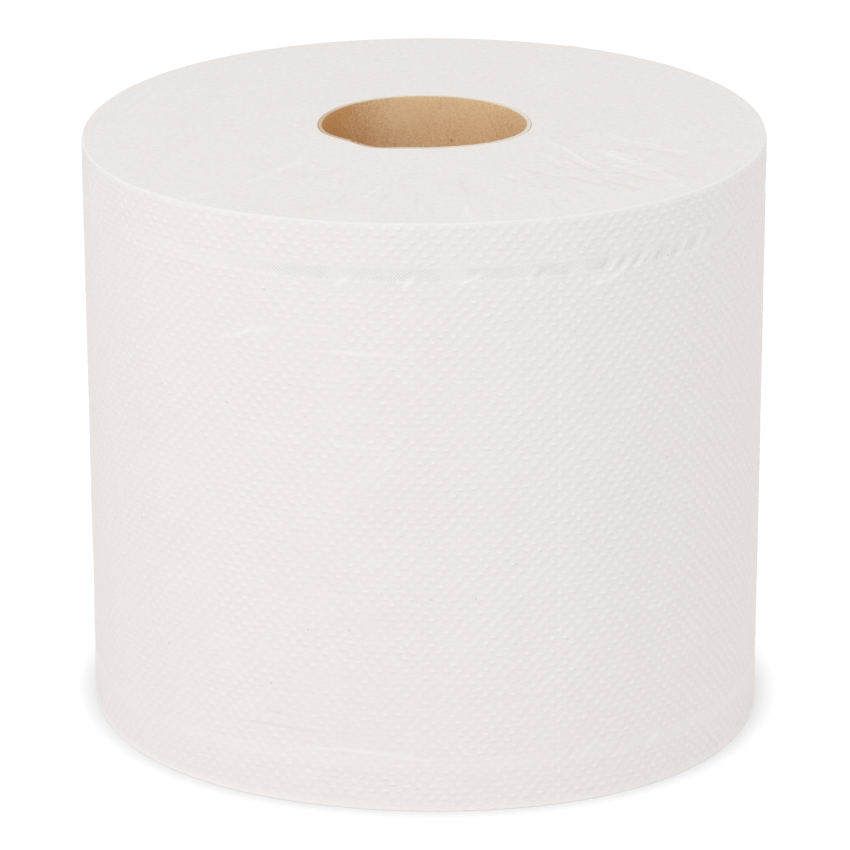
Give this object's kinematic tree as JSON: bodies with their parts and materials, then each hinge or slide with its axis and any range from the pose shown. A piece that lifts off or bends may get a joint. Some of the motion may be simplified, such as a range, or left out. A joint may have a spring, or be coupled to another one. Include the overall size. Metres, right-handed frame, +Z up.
{
  "type": "center pull paper towel roll",
  "caption": "Free-standing roll of white embossed two-ply paper towel, wound on a kraft tube whose round bore is open at both ends; the sheet pulls out from the middle.",
  "frame": {"origin": "middle of the base, on the tube's axis, on the surface that the roll stands on", "axes": "+Z up along the tube's axis, towards the end whose mouth is crushed; -Y towards the crushed side"},
  "size_m": [0.2204, 0.2186, 0.1939],
  "materials": {
    "tissue": "matte",
    "kraft": "matte"
  },
  "bodies": {
    "root": {"wound_paper": "tissue", "core_tube": "kraft"}
  },
  "joints": []
}
